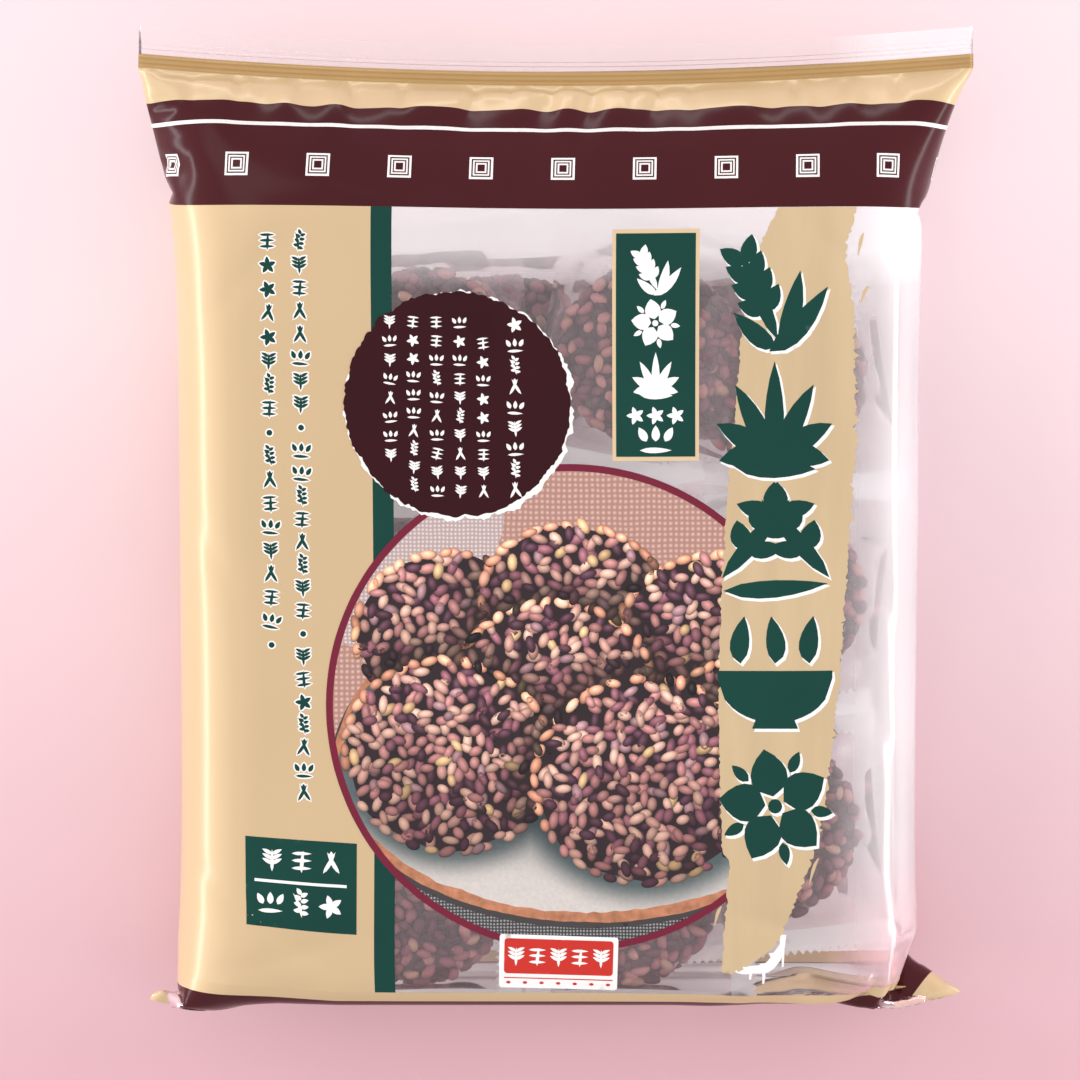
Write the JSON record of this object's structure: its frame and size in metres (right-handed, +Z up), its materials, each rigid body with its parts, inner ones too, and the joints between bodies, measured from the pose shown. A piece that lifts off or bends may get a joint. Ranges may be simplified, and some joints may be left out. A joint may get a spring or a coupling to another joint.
{
  "type": "sealed pack of rice crackers",
  "caption": "Sealed pillow pack of rice crackers lying on its back: flat crimped top seal, square pressed bottom end with folded seal and corner ears.",
  "frame": {"origin": "centre of the pack's outer box at its lowest plane, on the surface it lies on", "axes": "+Z up, out of the printed front; +Y towards the top seal; +X to the right as the front is read"},
  "size_m": [0.2254, 0.27, 0.046],
  "materials": {
    "film": "thin glossy clear film, printed in cream gold, dark brown and dark green, with clear windows"
  },
  "bodies": {
    "root": {"pack": "film"}
  },
  "joints": []
}
